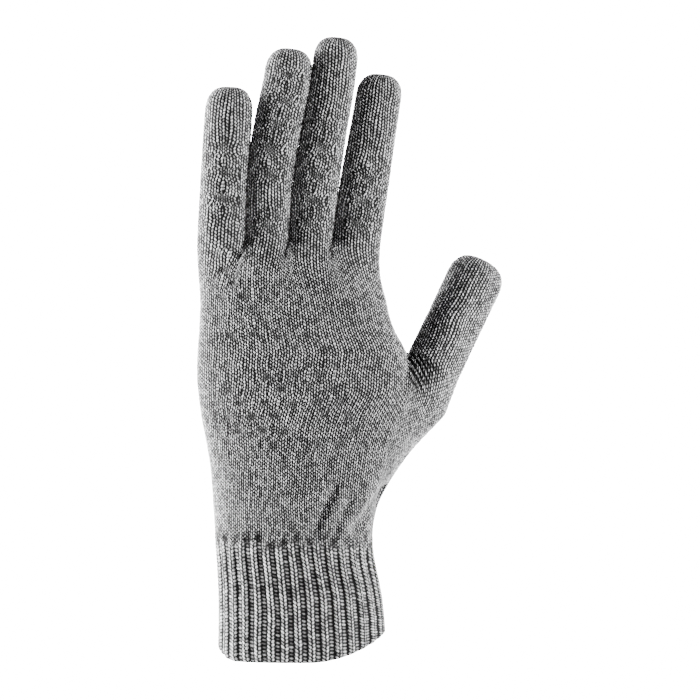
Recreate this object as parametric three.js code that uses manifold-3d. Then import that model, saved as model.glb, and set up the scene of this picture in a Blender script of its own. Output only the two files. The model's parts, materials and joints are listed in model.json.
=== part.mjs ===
// A knitted glove for the left hand, in the shape it takes on a relaxed, open hand.
//
// Millimetres. +Z runs from the cuff to the fingertips, +X points to the thumb side and
// +Y out of the palm, so the back of the hand faces -Y. The origin is the middle of the
// opening that the hand goes in at, level with the lowest edge of the hem.

import * as THREE from 'three';
import { mergeVertices } from 'three/addons/utils/BufferGeometryUtils.js';
import Module from 'manifold-3d';

const wasm = await Module();
wasm.setup();

// ---- driving dimensions -------------------------------------------------------------

const wall = 1.5; // thickness of the plain knitted fabric
const ribWall = 2.2; // thickness of the ribbed cuff, whose ridges stand closer together
const hemWall = 2.5; // thickness of the hem, where the cuff's edge is turned in
const seamGap = 0.35; // space left between pieces that meet
const baseGap = 1.5; // space between the hand and the leaning base of a finger
const foldGap = 1.2; // half of the space between two tubes at the line they bend on
const hingeDepth = 3; // how far the bend lines lie from a finger's middle, towards the palm

const hemTop = 3.2;
const wristHeight = 54; // the line that the wrist bends on
const thumbSplit = 120.6; // top of the part of the hand that carries the thumb
const crotchHeight = 164; // where the four fingers part

const wristBend = 40; // degrees, the same to the palm and to the back
const handSides = 28; // facets round the hand and the cuff
const fingerSides = 14; // facets round a finger
const handRoundness = 2.5; // 2 is an ellipse, more is squarer
const fingerRoundness = 2.15;
const domeShare = 0.46; // height of a tip's dome, as a share of the finger's width there

// Stations up the glove: height, thumb side edge, little finger side edge, half depth.
const bodyStations = [
  [0, 32.6, -32.4, 22.0],
  [24, 31.0, -32.3, 21.0],
  [47, 27.6, -33.6, 19.6],
  [58, 29.4, -34.4, 18.8],
  [76, 36.6, -35.8, 17.6],
  [96, 41.0, -39.4, 16.4],
  [112, 41.6, -40.9, 15.4],
  [119, 40.8, -40.7, 15.0],
  [129, 35.8, -40.0, 14.2],
  [145, 32.2, -39.6, 12.8],
  [crotchHeight, 31.9, -40.4, 10.6],
];

// Each finger: the middle of its base across the hand and towards the palm, its lean to
// the thumb side in degrees, its length from the crotch, its width at the base and near
// the tip, its depth, how far its tip curls to the palm, and the most that each of its
// bends turns in degrees.
const fingers = {
  index: {
    base: [23.5, 4.2], lean: 7.1, length: 65.8, widths: [17.2, 16.8],
    depth: 16.6, curl: 5, bends: [68, 80, 50],
  },
  middle: {
    base: [5.7, 1.4], lean: 5.6, length: 80.2, widths: [17.2, 16.8],
    depth: 17, curl: 6, bends: [68, 80, 50],
  },
  ring: {
    base: [-12.8, -1.4], lean: 6.0, length: 75.4, widths: [17.2, 16.8],
    depth: 16.6, curl: 5, bends: [68, 80, 50],
  },
  little: {
    base: [-31.0, -4.2], lean: 2.5, length: 59.6, widths: [18.4, 17.4],
    depth: 16.2, curl: 4, bends: [62, 74, 46],
  },
};
const fingerBackBend = 15; // degrees that a finger's base bends to the back of the hand
const fingerHinges = [0.1, 0.36, 0.68]; // the three bend lines, as shares of the length

// The thumb: the middle of its tube level with its crotch, its lean and its length.
const thumb = {
  base: [51.6, 10, 114.8],
  lean: 25.5,
  forward: 9, // degrees that it leans out of the palm
  length: 46,
  widths: [22.0, 21.4],
  depth: 20,
  turn: 48, // degrees that its bend lines are turned towards the palm
  bends: [24, 50],
  backBend: 10,
  hinges: [0.14, 0.44],
};

// The root of the thumb inside the hand: centre, half width and half depth, bottom to top.
const thumbRoot = [
  { centre: [16, 3, 72], halfWidth: 15, halfDepth: 13 },
  { centre: [32.4, 6, 91.2], halfWidth: 13.8, halfDepth: 13.4 },
  { centre: [43.2, 8.2, 102.2], halfWidth: 13.6, halfDepth: 12 },
];

// ---- shared geometry ----------------------------------------------------------------

const plainColor = 0x8b8b8b;
const ribColor = 0x888888;
const threadColor = 0xd8d6d0;
const tieColor = 0x7d7d7d;

const radians = THREE.MathUtils.degToRad;
const mix = THREE.MathUtils.lerp;

// Distance from the middle of a rounded section to its edge, in the direction of angle.
function sectionReach(angle, halfWidth, halfDepth, roundness) {
  const across = Math.abs(Math.cos(angle) / halfWidth) ** roundness;
  const through = Math.abs(Math.sin(angle) / halfDepth) ** roundness;
  return (across + through) ** (-1 / roundness);
}

// A wall is turned on the lathe from its list of steps, then place() moves each point of
// it from its step and its angle to where it lies on the glove.
function shapedLathe(steps, sides, place) {
  const profile = steps.map((step, index) => new THREE.Vector2(step.reach, index));
  const geometry = new THREE.LatheGeometry(profile, sides);
  const position = geometry.attributes.position;
  for (let vertex = 0; vertex < position.count; vertex += 1) {
    const step = steps[vertex % steps.length];
    const column = Math.floor(vertex / steps.length) % sides;
    const point = place(step, (2 * Math.PI * column) / sides);
    position.setXYZ(vertex, point.x, point.y, point.z);
  }
  geometry.computeVertexNormals();
  return geometry;
}

// Steps of an open tube's wall: down the inside, up the outside, and round to the start.
function tubeSteps(rings, thickness) {
  const rise = Array.from({ length: rings }, (_, ring) => ring / (rings - 1));
  const inside = rise.map((along) => ({ along, inset: thickness, reach: 1, dome: 0 })).reverse();
  const outside = rise.map((along) => ({ along, inset: 0, reach: 1, dome: 0 }));
  return [...inside, ...outside, inside[0]];
}

// Steps of a tube's wall that is closed by a dome: each wall runs on to the axis.
function tipSteps(rings, domeRings, thickness) {
  const side = (inset) => Array.from({ length: rings }, (_, ring) => (
    { along: ring / (rings - 1), inset, reach: 1, dome: 0 }));
  const dome = (inset) => Array.from({ length: domeRings }, (_, ring) => {
    const turn = ((ring + 1) / domeRings) * (Math.PI / 2);
    const reach = ring + 1 === domeRings ? 0 : Math.cos(turn);
    return { along: 1, inset, reach, dome: Math.sin(turn) };
  });
  const inside = [...side(thickness), ...dome(thickness)].reverse();
  return [...inside, ...side(0), ...dome(0)];
}

// Steps of a solid bar with flat ends, for joining and hollowing.
function solidSteps(count, inset) {
  const side = Array.from({ length: count }, (_, ring) => (
    { along: ring / (count - 1), inset, reach: 1, dome: 0 }));
  return [{ ...side[0], reach: 0 }, ...side, { ...side[count - 1], reach: 0 }];
}

// Half of the space between two tubes that meet on a bend line, at a depth towards the
// palm: it opens to each side as far as the bend needs.
function halfGap(depth, palmBend, backBend, hinge) {
  const toPalm = Math.max(depth - hinge, 0) * Math.tan(radians(palmBend / 2));
  const toBack = Math.max(hinge - depth, 0) * Math.tan(radians(backBend / 2));
  return foldGap + toPalm + toBack;
}

function knit(name, geometry, color) {
  const material = new THREE.MeshStandardMaterial({ color, roughness: 0.95, metalness: 0 });
  const mesh = new THREE.Mesh(geometry, material);
  mesh.name = name;
  return mesh;
}

function toManifold(geometry) {
  const bare = geometry.clone();
  bare.deleteAttribute('normal');
  bare.deleteAttribute('uv');
  const merged = mergeVertices(bare, 1e-4);
  return new wasm.Manifold(new wasm.Mesh({
    numProp: 3,
    vertProperties: new Float32Array(merged.attributes.position.array),
    triVerts: new Uint32Array(merged.index.array),
  }));
}

function fromManifold(solid) {
  const mesh = solid.getMesh();
  const geometry = new THREE.BufferGeometry();
  geometry.setAttribute('position', new THREE.BufferAttribute(mesh.vertProperties, 3));
  geometry.setIndex(new THREE.BufferAttribute(mesh.triVerts, 1));
  geometry.computeVertexNormals();
  return geometry;
}

// ---- the hand and the cuff ----------------------------------------------------------

const bodyCurve = new THREE.CubicInterpolant(
  bodyStations.map((station) => station[0]),
  bodyStations.flatMap((station) => station.slice(1)),
  3,
);

// The hem rises a little towards the thumb side: from hemLevelTo out to hemEdge across,
// and less the higher it is, up to hemSpread.
const hemLevelTo = 6;
const hemEdge = 32;
const hemRise = 8;
const hemSpread = 26;

function hemLift(x, z) {
  const share = Math.max((x - hemLevelTo) / (hemEdge - hemLevelTo), 0);
  return hemRise * share ** 2 * Math.max(1 - z / hemSpread, 0);
}

// The point of the hand or cuff for one step of its wall. The height may depend on how
// far the point lies towards the palm, as it does along the wrist's bend.
function bodyPoint(step, angle, heightAt) {
  const [right, left, halfDepth] = bodyCurve.evaluate(heightAt(0));
  const edge = sectionReach(angle, (right - left) / 2, halfDepth, handRoundness);
  const reach = (edge - step.inset) * step.reach;
  const x = (right + left) / 2 + reach * Math.cos(angle);
  const y = reach * Math.sin(angle);
  const z = heightAt(y);
  return new THREE.Vector3(x, y, z + hemLift(x, z));
}

function wristEdge(side, y) {
  return wristHeight + side * halfGap(y, wristBend, wristBend, 0);
}

function bodyTube(name, rings, thickness, bottom, top, color) {
  const geometry = shapedLathe(tubeSteps(rings, thickness), handSides, (step, angle) => (
    bodyPoint(step, angle, (y) => mix(bottom(y), top(y), step.along))));
  return knit(name, geometry, color);
}

const handRings = 9; // rings up the lower hand
const cutLength = 2; // how far the hollow runs out of each end of the lower hand

// A solid of the lower hand's tube, set in by inset and longer at both ends by overshoot.
function handSolid(inset, overshoot) {
  return shapedLathe(solidSteps(handRings, inset), handSides, (step, angle) => (
    bodyPoint(step, angle, (y) => (
      mix(wristEdge(1, y) - overshoot, thumbSplit + overshoot, step.along)))));
}

// A solid of the thumb's root, which leans from the wrist out to where the thumb starts.
function thumbRootSolid(inset, overshoot) {
  const top = fingerFrame(thumb, overshoot);
  const centres = [...thumbRoot.map((root) => new THREE.Vector3(...root.centre)), top.point];
  const halfWidths = [...thumbRoot.map((root) => root.halfWidth), thumb.widths[0] / 2];
  const halfDepths = [...thumbRoot.map((root) => root.halfDepth), thumb.depth / 2];
  const last = centres.length - 1;
  const directionAt = (index) => (
    index === last ? top.along : centres[index + 1].clone().sub(centres[Math.max(index - 1, 0)]));
  return shapedLathe(solidSteps(last + 1, inset), fingerSides + 4, (step, angle) => {
    const index = Math.round(step.along * last);
    const through = new THREE.Vector3().crossVectors(directionAt(index), top.across).normalize();
    const across = new THREE.Vector3().crossVectors(through, directionAt(index)).normalize();
    const edge = sectionReach(angle, halfWidths[index], halfDepths[index], fingerRoundness);
    const reach = (edge - step.inset) * step.reach;
    return centres[index].clone()
      .addScaledVector(across, reach * Math.cos(angle))
      .addScaledVector(through, reach * Math.sin(angle));
  });
}

// The lower hand: the hand's tube and the thumb's root are joined, then hollowed.
function lowerHand() {
  const outside = toManifold(handSolid(0, 0)).add(toManifold(thumbRootSolid(0, 0)));
  const inside = toManifold(handSolid(wall, cutLength)).add(toManifold(thumbRootSolid(wall, cutLength)));
  return knit('lower_hand', fromManifold(outside.subtract(inside)), plainColor);
}

// ---- fingers and thumb --------------------------------------------------------------

// The frame of a finger at a distance up it: the point on its middle line, the direction
// along it, across it (the line it bends on) and through it towards the palm.
function fingerFrame(finger, distance) {
  const lean = radians(finger.lean);
  const forward = radians(finger.forward ?? 0);
  const straight = new THREE.Vector3(
    Math.sin(lean) * Math.cos(forward),
    Math.sin(forward),
    Math.cos(lean) * Math.cos(forward),
  );
  const [baseAcross, baseDepth, baseHeight = crotchHeight] = finger.base;
  const start = new THREE.Vector3(baseAcross, baseDepth, baseHeight);
  const share = distance / finger.length;
  const curl = finger.curl ?? 0;
  const palm = new THREE.Vector3(0, 1, 0);
  const point = start.clone()
    .addScaledVector(straight, distance)
    .addScaledVector(palm, curl * share ** 2);
  const along = straight.clone()
    .addScaledVector(palm, (2 * curl * share) / finger.length)
    .normalize();
  const across = new THREE.Vector3(Math.cos(lean), 0, -Math.sin(lean));
  across.applyAxisAngle(straight, radians(finger.turn ?? 0));
  const through = new THREE.Vector3().crossVectors(along, across).normalize();
  return { point, along, across, through };
}

// The point on a finger's wall: its place along may depend on its depth, as at a bend.
function fingerPoint(finger, step, angle, distanceAt) {
  const share = distanceAt(0) / finger.length;
  const halfWidth = mix(finger.widths[0], finger.widths[1], share) / 2;
  const halfDepth = finger.depth / 2;
  const edge = sectionReach(angle, halfWidth, halfDepth, fingerRoundness);
  const reach = (edge - step.inset) * step.reach;
  const sideways = reach * Math.cos(angle);
  const depth = reach * Math.sin(angle);
  const frame = fingerFrame(finger, distanceAt(depth));
  return frame.point
    .addScaledVector(frame.across, sideways)
    .addScaledVector(frame.through, depth);
}

function fingerTube(name, finger, rings, bottom, top) {
  const geometry = shapedLathe(tubeSteps(rings, wall), fingerSides, (step, angle) => (
    fingerPoint(finger, step, angle, (depth) => mix(bottom(depth), top(depth), step.along))));
  return knit(name, geometry, plainColor);
}

function fingerTip(name, finger, bottom) {
  const domeHeight = finger.widths[1] * domeShare;
  const sideTop = finger.length - domeHeight;
  const geometry = shapedLathe(tipSteps(3, 4, wall), fingerSides, (step, angle) => (
    fingerPoint(finger, step, angle, (depth) => (
      mix(bottom(depth), sideTop, step.along) + step.dome * (domeHeight - step.inset)))));
  return knit(name, geometry, plainColor);
}

// A whole finger: tubes between its bend lines, and a soft fold across each bend line.
function addFinger(group, name, finger, sectionNames, foldNames, hinges, backBends) {
  const edge = (hinge, side, extra) => (depth) => (
    hinges[hinge] * finger.length
      + side * (halfGap(depth, finger.bends[hinge], backBends[hinge], hingeDepth) - extra));
  hinges.forEach((_, hinge) => {
    const foldBottom = hinge === 0 ? () => baseGap : edge(hinge, -1, seamGap);
    const foldName = `${name}_${foldNames[hinge]}`;
    group.add(fingerTube(foldName, finger, 2, foldBottom, edge(hinge, 1, seamGap)));
    const sectionName = `${name}_${sectionNames[hinge]}`;
    if (hinge === hinges.length - 1) {
      group.add(fingerTip(sectionName, finger, edge(hinge, 1, 0)));
    } else {
      group.add(fingerTube(sectionName, finger, 3, edge(hinge, 1, 0), edge(hinge + 1, -1, 0)));
    }
  });
}

// ---- small pieces -------------------------------------------------------------------

const threadRadius = 0.5;
const threadGap = 0.6; // between the thread and the inside of the cuff
const threadSides = 6;
const threadHeights = [9, 18, 27, 36];

// One turn of elastic thread that lies against the inside of the cuff.
function elasticThread(name, height) {
  const steps = Array.from({ length: threadSides + 1 }, (_, corner) => {
    const turn = (2 * Math.PI * (corner % threadSides)) / threadSides;
    const inset = ribWall + threadGap + threadRadius * (1 - Math.cos(turn));
    return { reach: 1, inset, rise: threadRadius * Math.sin(turn) };
  });
  const geometry = shapedLathe(steps, handSides, (step, angle) => (
    bodyPoint(step, angle, () => height + step.rise)));
  return knit(name, geometry, threadColor);
}

const tieRadius = 1;
const tieSides = 8;
const tieInset = 3.2; // how far below the crotch line a tie lies
const tieLength = 17.8; // from the inside of the back to the inside of the palm

// The few turns of yarn that tie the back and the palm together between two fingers.
function crotchTie(name, x, z) {
  const geometry = new THREE.CylinderGeometry(tieRadius, tieRadius, tieLength, tieSides);
  const tie = knit(name, geometry, tieColor);
  tie.position.set(x, 0, z);
  return tie;
}

// ---- the glove ----------------------------------------------------------------------

const glove = new THREE.Group();

glove.add(bodyTube('cuff_hem', 2, hemWall, () => 0, () => hemTop, ribColor));
glove.add(bodyTube('cuff_rib', 7, ribWall, () => hemTop + seamGap, (y) => wristEdge(-1, y), ribColor));
threadHeights.forEach((height, index) => {
  glove.add(elasticThread(`cuff_elastic_${index + 1}`, height));
});
glove.add(bodyTube(
  'wrist_fold', 2, wall,
  (y) => wristEdge(-1, y) + seamGap, (y) => wristEdge(1, y) - seamGap,
  plainColor,
));
glove.add(lowerHand());
glove.add(bodyTube(
  'upper_hand', 6, wall,
  () => thumbSplit + seamGap, () => crotchHeight - seamGap,
  plainColor,
));

for (const [name, finger] of Object.entries(fingers)) {
  addFinger(
    glove, name, finger,
    ['lower_tube', 'middle_tube', 'tip'], ['base_fold', 'knuckle_fold', 'end_fold'],
    fingerHinges, [fingerBackBend, 0, 0],
  );
}
addFinger(
  glove, 'thumb', thumb,
  ['lower_tube', 'tip'], ['base_fold', 'knuckle_fold'],
  thumb.hinges, [thumb.backBend, 0],
);

const fingerOrder = Object.entries(fingers);
for (let gap = 0; gap + 1 < fingerOrder.length; gap += 1) {
  const [name, finger] = fingerOrder[gap];
  const [nextName, next] = fingerOrder[gap + 1];
  glove.add(crotchTie(
    `crotch_tie_${name}_${nextName}`,
    (finger.base[0] + next.base[0]) / 2, crotchHeight - tieInset,
  ));
}

export default glove;
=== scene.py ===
import json
import math
import bpy
import numpy as np
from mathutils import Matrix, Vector


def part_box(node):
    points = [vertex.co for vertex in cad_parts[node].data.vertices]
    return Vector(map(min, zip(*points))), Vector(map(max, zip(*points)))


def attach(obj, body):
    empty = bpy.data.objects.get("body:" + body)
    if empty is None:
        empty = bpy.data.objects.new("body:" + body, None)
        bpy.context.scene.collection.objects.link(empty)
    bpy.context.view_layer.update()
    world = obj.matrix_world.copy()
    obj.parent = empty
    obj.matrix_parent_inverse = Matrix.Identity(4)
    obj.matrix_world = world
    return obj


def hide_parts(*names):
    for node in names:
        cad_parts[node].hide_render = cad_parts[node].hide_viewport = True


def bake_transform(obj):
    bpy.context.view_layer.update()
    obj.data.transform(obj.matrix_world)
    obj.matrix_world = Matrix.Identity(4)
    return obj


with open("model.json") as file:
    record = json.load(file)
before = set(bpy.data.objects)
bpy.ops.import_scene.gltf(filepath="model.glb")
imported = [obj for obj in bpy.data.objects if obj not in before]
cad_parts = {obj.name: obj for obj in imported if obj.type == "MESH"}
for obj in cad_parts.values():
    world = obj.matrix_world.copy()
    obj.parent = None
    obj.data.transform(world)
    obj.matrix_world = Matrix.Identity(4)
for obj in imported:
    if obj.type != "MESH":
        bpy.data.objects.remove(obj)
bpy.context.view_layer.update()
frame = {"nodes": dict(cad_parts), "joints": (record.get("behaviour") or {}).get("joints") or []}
joints = {joint["name"]: joint for joint in frame["joints"]}
mm = 0.001
print("frame loaded:", len(frame["nodes"]), "nodes")

knit = {
    "columnsPerWale": 8,       # mesh columns across one wale, the upright line of stitches
    "rowsPerCourse": 6,        # mesh rows up one course, the level line of stitches
    "course": 1.34 * mm,
    "relief": 0.50 * mm,       # how far the yarn stands over the gaps
    "wall": 1.3 * mm,          # from the yarn's foot to the inside
    "sink": 0.15 * mm,         # the gaps lie this far under the CAD surface
    "leftLeg": 0.54,           # share of a wale that the left leg of each stitch takes
    "legEdge": 1.6,            # higher makes each leg narrower at its top
    "legs": {"leftSlant": 1.1, "rightSlant": 0.45, "rightStart": 0.35, "uneven": 0.45},
    # the gaps' depth also sets their tone, so their darkness is painted shade
    "gapDepth": (0.92, 0.60),  # of the gaps between strokes, on left legs and on right ones
    "gapEdge": 1.8,            # higher makes the gaps shorter
    "drift": 0.16,             # how far a wale strays to its sides, in wales
    "settle": 5,               # courses over which drift and dimples fade where two tubes meet
    "fullWale": 1.7 * mm,      # a wale this wide has the full relief
    "reliefRange": (0.15, 1.15),
    "airyWale": 1.1 * mm,      # narrower wales than this lose their dark gaps
    "evenTone": 0.42, "patchy": 0.06, "insideTone": 0.3, "tipTone": 0.5,
}


# 0 below 0, 1 above 1, and 3t^2 - 2t^3 between.
def smooth(t):
    t = np.clip(t, 0, 1)
    return t * t * (3 - 2 * t)


# Points between knots along the first axis: a Catmull-Rom cubic through every knot.
def throughKnots(knots, steps, closed=False):
    if closed:
        padded = np.concatenate([knots[-1:], knots, knots[:2]])
        spans = len(knots)
        count = spans * steps
    else:
        padded = np.concatenate([[2 * knots[0] - knots[1]], knots, [2 * knots[-1] - knots[-2]]])
        spans = len(knots) - 1
        count = spans * steps + 1
    t = np.arange(count) / steps
    span = np.minimum(t.astype(int), spans - 1)
    f = (t - span).reshape((-1,) + (1,) * (knots.ndim - 1))
    a, b, c, d = padded[span], padded[span + 1], padded[span + 2], padded[span + 3]
    return 0.5 * (2 * b + (c - a) * f + (2 * a - 5 * b + 4 * c - d) * f**2
                  + (3 * b - a - 3 * c + d) * f**3)


# A stitch grid (one point for each wale and course) made fine, with one ghost course at
# each end for an even slope, which is cut off again.
def fineGrid(coarse, ghostsBelow, ghostsAbove):
    rows = knit["rowsPerCourse"]
    fine = throughKnots(coarse, rows)
    fine = fine[ghostsBelow * rows:len(fine) - ghostsAbove * rows]
    fine = np.moveaxis(throughKnots(np.moveaxis(fine, 1, 0), knit["columnsPerWale"], True), 0, 1)
    return fine


# Outward unit normals of a grid that closes round its columns: across times up.
def gridNormals(grid):
    across = np.roll(grid, -1, 1) - np.roll(grid, 1, 1)
    up = np.gradient(grid, axis=0)
    normal = np.cross(across, up)
    return normal / np.maximum(np.linalg.norm(normal, axis=2, keepdims=True), 1e-12)


hashSteps = (12.9898, 78.233, 37.719)   # far from any whole share of a turn
hashGain = 43758.5453


# Values that stay the same for each whole cell of u and v: the fraction of a large sine.
def cellNoise(u, v, salt):
    value = np.floor(u) * hashSteps[0] + np.floor(v) * hashSteps[1] + salt * hashSteps[2]
    value = np.sin(value) * hashGain
    return value - np.floor(value)


# for each wave: how many go round the tube, its rise for each course, its share of the salt
waves = [(5, 0.33, 1.0), (3, -0.57, 2.1), (9, 0.21, 3.7)]


# Smooth uneven waves from -1 to 1: the mean of sines that cross, each whole round the tube.
def slowWaves(u, v, wales, salt):
    turn = 2 * np.pi * u / wales
    return sum(np.sin(count * turn + rise * v + share * salt) for count, rise, share in waves) / len(waves)


# How high the strokes of yarn stand along a leg: 1 less a cosine dip at each gap, times a
# looseness that is the same over one stroke. Left legs slant down to the right, and right
# ones lean the other way. A stroke is counted from gap to gap.
def strokes(legs, wale, left, across, v, salt):
    phase = np.where(left, v + legs["leftSlant"] * across,
                     v - legs["rightSlant"] * across + legs["rightStart"])
    loose = 1 - legs["uneven"] * (1 - cellNoise(2 * wale + left, phase + 0.5, salt))
    gap = (0.5 - 0.5 * np.cos(2 * np.pi * phase)) ** knit["gapEdge"]
    return loose * (1 - np.where(left, *knit["gapDepth"]) * gap)


# The knit's height from 0 to 1: each wale has two legs side by side, each a sine bump across
# to a power, times its strokes. It is also the yarn's tone, so its low gaps are painted shade.
def stitchHeight(u, v):
    share = u % 1
    left = share < knit["leftLeg"]
    across = np.where(left, share / knit["leftLeg"], (share - knit["leftLeg"]) / (1 - knit["leftLeg"]))
    body = np.sin(np.pi * across) ** knit["legEdge"]
    return body * strokes(knit["legs"], np.floor(u), left, across, v, 1)


# Quads between the rows of a grid whose first point has the given index.
def ringQuads(first, rows, columns, flip=False):
    row = np.arange(rows - 1)[:, None] * columns
    column = np.arange(columns)[None, :]
    right = (column + 1) % columns
    quads = np.stack([row + column, row + right, row + columns + right, row + columns + column], 2)
    quads = quads.reshape(-1, 4) + first
    return quads[:, ::-1] if flip else quads


# An object in the scene, at the origin.
def addObject(name, data):
    added = bpy.data.objects.new(name, data)
    bpy.context.scene.collection.objects.link(added)
    return added


# The tone that the yarn's colour is read from, one value for each point. Where it is low on the outside it
# is painted shade, in the gaps and hollows of the knit.
def setTone(mesh, values):
    tone = mesh.attributes.new("tone", "FLOAT", "POINT")
    tone.data.foreach_set("value", np.clip(values, 0, 1).astype(np.float32))


# A closed wall: outside grid, inside grid, and a rim at each open end. A closed tip has a
# fan to one middle point on each side in place of its upper rim.
def shell(name, outside, inside, shade, tip=False, vFirst=0.0, scale=(1, 1), softFoot=False):
    rowsOut, columns = outside.shape[:2]
    rowsIn = inside.shape[0]
    points = [outside.reshape(-1, 3), inside.reshape(-1, 3)]
    innerFirst = rowsOut * columns
    quads = [ringQuads(0, rowsOut, columns), ringQuads(innerFirst, rowsIn, columns, True)]
    ring = np.arange(columns)
    nextRing = (ring + 1) % columns
    quads.append(np.stack([innerFirst + ring, innerFirst + nextRing, nextRing, ring], 1))
    fans = np.zeros((0, 3), int)
    shades = [shade.ravel(), np.full(rowsIn * columns, knit["insideTone"])]
    outTop = (rowsOut - 1) * columns
    inTop = innerFirst + (rowsIn - 1) * columns
    if tip:
        points += [outside[-1].mean(0)[None], inside[-1].mean(0)[None]]
        shades += [[knit["tipTone"]], [knit["insideTone"]]]
        apex = innerFirst + rowsIn * columns
        fans = np.concatenate([
            np.stack([outTop + ring, outTop + nextRing, np.full(columns, apex)], 1),
            np.stack([inTop + nextRing, inTop + ring, np.full(columns, apex + 1)], 1)])
    else:
        quads.append(np.stack([outTop + ring, outTop + nextRing, inTop + nextRing, inTop + ring], 1))
    quads = np.concatenate(quads)
    points = np.concatenate(points)
    corners = np.concatenate([quads.ravel(), fans.ravel()]).astype(np.int32)
    starts = np.concatenate([np.arange(len(quads)) * 4, len(quads) * 4 + np.arange(len(fans)) * 3])
    mesh = bpy.data.meshes.new(name)
    mesh.vertices.add(len(points))
    mesh.vertices.foreach_set("co", points.astype(np.float32).ravel())
    mesh.loops.add(len(corners))
    mesh.loops.foreach_set("vertex_index", corners)
    mesh.polygons.add(len(starts))
    mesh.polygons.foreach_set("loop_start", starts.astype(np.int32))
    # the rims are flat, so that two pieces meet without a bright line
    rounded = np.ones(len(starts), bool)
    footFirst = (rowsOut + rowsIn - 2) * columns
    rounded[footFirst:footFirst + columns] = softFoot
    rounded[footFirst + columns:len(quads)] = False
    mesh.polygons.foreach_set("use_smooth", rounded)
    mesh.update(calc_edges=True)
    # the map's u counts wales and its v counts courses, both times scale
    place = corners % columns
    row = np.where(corners < innerFirst, corners // columns, 0)
    wraps = np.zeros(len(corners), bool)
    wraps[:len(quads) * 4] = np.repeat((quads % columns == columns - 1).any(1)
                                       & (quads % columns == 0).any(1), 4)
    place = np.where(wraps & (place == 0), columns, place)
    chart = np.stack([place / knit["columnsPerWale"] * scale[0],
                      (vFirst + row / knit["rowsPerCourse"]) * scale[1]], 1)
    stitchMap = mesh.uv_layers.new(name="stitches")
    stitchMap.data.foreach_set("uv", chart.astype(np.float32).ravel())
    setTone(mesh, np.concatenate(shades))
    mesh.validate()
    return addObject(name, mesh)


# A knitted tube from its stitch grid: the yarn's relief is raised along the normals. The
# wales crowd together at each dimple and part again beyond it.
def knittedTube(name, coarse, ghosts, vFirst, tip=False, dimple=None, folds=None):
    base = fineGrid(coarse, ghosts[0], ghosts[1])
    rows, columns = base.shape[:2]
    wales = columns // knit["columnsPerWale"]
    u = np.arange(columns)[None, :] / knit["columnsPerWale"] + np.zeros((rows, 1))
    v = vFirst + np.arange(rows)[:, None] / knit["rowsPerCourse"] + np.zeros((1, columns))
    normal = gridNormals(base)
    flat, pullU, pullV = np.zeros((3, rows, columns))
    if dimple is not None:
        flat, pullU, pullV = dimple(u, v, base)
    # all of it dies away where the hand's tubes meet, so that the wales run on unbroken
    settle = (smooth(np.abs(v - borders[0]) / knit["settle"])
              * smooth(np.abs(v - borders[1]) / knit["settle"]))
    flat, pullU, pullV = flat * settle, pullU * settle, pullV * settle
    drift = knit["drift"] * slowWaves(u, v, wales, 5.0) * settle
    height = stitchHeight(u + pullU + drift, v + pullV)
    # relief shrinks where the stitches are small, as at a tip
    wale = np.linalg.norm(np.roll(base, -1, 1) - base, axis=2) * knit["columnsPerWale"]
    size = np.clip(wale / knit["fullWale"], *knit["reliefRange"])
    lift = knit["relief"] * height * (1 - dimples["flatten"] * flat) * size
    lift = lift - knit["sink"] - dimples["depth"] * flat
    if folds is not None:
        raised, shaded = folds(u, v, base)
        lift = lift + raised
    outside = base + normal * lift[..., None]
    inside = (base - normal * knit["wall"])[::knit["rowsPerCourse"]]
    # the tone follows the height, so the dark gaps between strokes are painted shade; the slow waves are
    # the yarn's own unevenness
    tone = height * (1 + knit["patchy"] * slowWaves(u, v, wales, 2.0))
    airy = np.clip(wale / knit["airyWale"], 0, 1) ** 2
    tone = tone * airy + knit["evenTone"] * (1 - airy)
    # painted shade: each dimple's stitches are blurred and its tone drawn down, as shade in the pit
    tone = tone * (1 - dimples["blur"] * flat) + dimples["shade"] * flat
    # painted shade from the folds: in the valleys of the run-on ridges and the troughs of the rucks
    if folds is not None:
        tone = tone * (1 - shaded)
    piece = shell(name, outside, inside, tone, tip, vFirst)
    print("knitted", name, rows, "x", columns)
    return piece


hand = {
    "stations": [              # height, thumb side, little finger side, half depth, in mm
        (0, 32.6, -32.4, 22.0), (24, 31.0, -32.3, 21.0), (47, 27.6, -33.6, 19.6),
        (58, 29.4, -34.4, 18.8), (76, 36.6, -35.8, 17.6), (96, 41.0, -39.4, 16.4),
        (112, 41.6, -40.9, 15.4), (119, 40.8, -40.7, 15.1), (129, 35.8, -40.0, 14.6),
        (145, 32.2, -39.6, 13.8), (164, 31.9, -40.4, 12.7),
    ],
    "roundness": 2.5,
    "ringSteps": 721,          # points on a section before its wales are placed
    "ribTop": 46 * mm,
    "thumbCrotch": 119 * mm,
    "pinch": 10 * mm,          # how far under a crotch the fabric is drawn in
    "pinchEdge": 1.3,          # higher draws it in more suddenly
    "fan": 26 * mm,            # how far under a crotch the wales start to turn to it
    "thumbFan": 48 * mm,       # the same under the thumb's crotch
    "wales": 86,
    "gussetFoot": 0.22,        # share of the thumb's width that its wales still have at the wrist
    "gussetRise": 0.75,        # share of the way up at which they have all of it
    "thumbSide": 2.5 * mm,     # how near the hand's last wale keeps to the thumb side
}

stations = np.array(hand["stations"]) * mm


# The values of a list of stations at any place: a cubic between each two, whose slopes at
# the stations are those of the lines to their neighbours.
def between(rows, place):
    knots, values = rows[:, 0], rows[:, 1:]
    slopes = np.gradient(values, knots, axis=0)
    place = np.asarray(place, float)
    span = np.clip(np.searchsorted(knots, place) - 1, 0, len(knots) - 2)
    width = knots[span + 1] - knots[span]
    t = ((place - knots[span]) / width)[..., None]
    width = width[..., None]
    return ((2 * t**3 - 3 * t**2 + 1) * values[span] + (t**3 - 2 * t**2 + t) * width * slopes[span]
            + (3 * t**2 - 2 * t**3) * values[span + 1] + (t**3 - t**2) * width * slopes[span + 1])


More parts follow.
